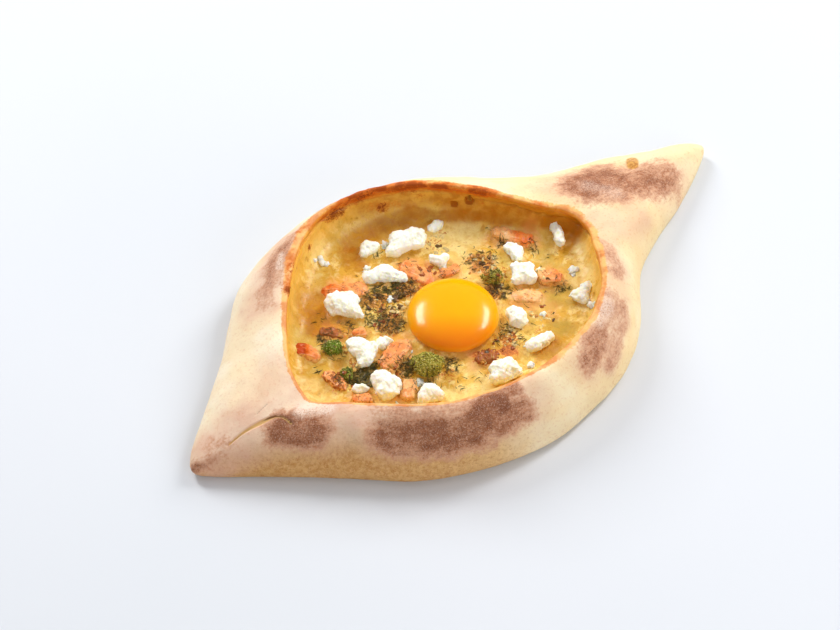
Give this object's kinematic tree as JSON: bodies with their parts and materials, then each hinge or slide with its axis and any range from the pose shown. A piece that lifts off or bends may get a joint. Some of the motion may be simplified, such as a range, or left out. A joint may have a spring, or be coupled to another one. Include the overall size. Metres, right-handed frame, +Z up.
{
  "type": "khachapuri",
  "caption": "Boat-shaped open cheese bread with pointed ends and a raised rim, filled with melted cheese, a raw egg yolk, white cheese crumbles, salmon, broccoli and dill.",
  "frame": {"origin": "on the surface the loaf rests on, under the middle of its box", "axes": "+X along the loaf to its slimmer point, +Y to the long side whose rim bulges more, +Z up"},
  "size_m": [0.3161, 0.1709, 0.0332],
  "materials": {
    "crust": "baked crust dusted with flour, with soft purple-brown oven patches",
    "melted_cheese": "melted cheese with a light oily shine, browned in places, with dill",
    "egg_yolk": "wet glossy raw yolk",
    "white_cheese": "moist crumbly brined cheese",
    "salmon": "cooked flaky salmon",
    "broccoli": "baked broccoli buds"
  },
  "bodies": {
    "root": {"bread": "crust", "cheese_filling": "melted_cheese", "egg_yolk": "egg_yolk", "cheese_crumble_1": "white_cheese", "cheese_crumble_2": "white_cheese", "cheese_crumble_3": "white_cheese", "cheese_crumble_4": "white_cheese", "cheese_crumble_5": "white_cheese", "cheese_crumble_6": "white_cheese", "cheese_crumble_7": "white_cheese", "cheese_crumble_8": "white_cheese", "cheese_crumble_9": "white_cheese", "cheese_crumble_10": "white_cheese", "cheese_crumble_11": "white_cheese", "cheese_crumble_12": "white_cheese", "cheese_crumble_13": "white_cheese", "cheese_crumble_14": "white_cheese", "cheese_crumble_15": "white_cheese", "cheese_crumble_16": "white_cheese", "cheese_crumble_17": "white_cheese", "cheese_crumble_18": "white_cheese", "salmon_1": "salmon", "salmon_2": "salmon", "salmon_3": "salmon", "salmon_4": "salmon", "salmon_5": "salmon", "salmon_6": "salmon", "salmon_7": "salmon", "salmon_8": "salmon", "salmon_9": "salmon", "salmon_10": "salmon", "salmon_11": "salmon", "salmon_12": "salmon", "salmon_13": "salmon", "salmon_14": "salmon", "broccoli_1": "broccoli", "broccoli_2": "broccoli", "broccoli_3": "broccoli", "broccoli_4": "broccoli"}
  },
  "joints": []
}
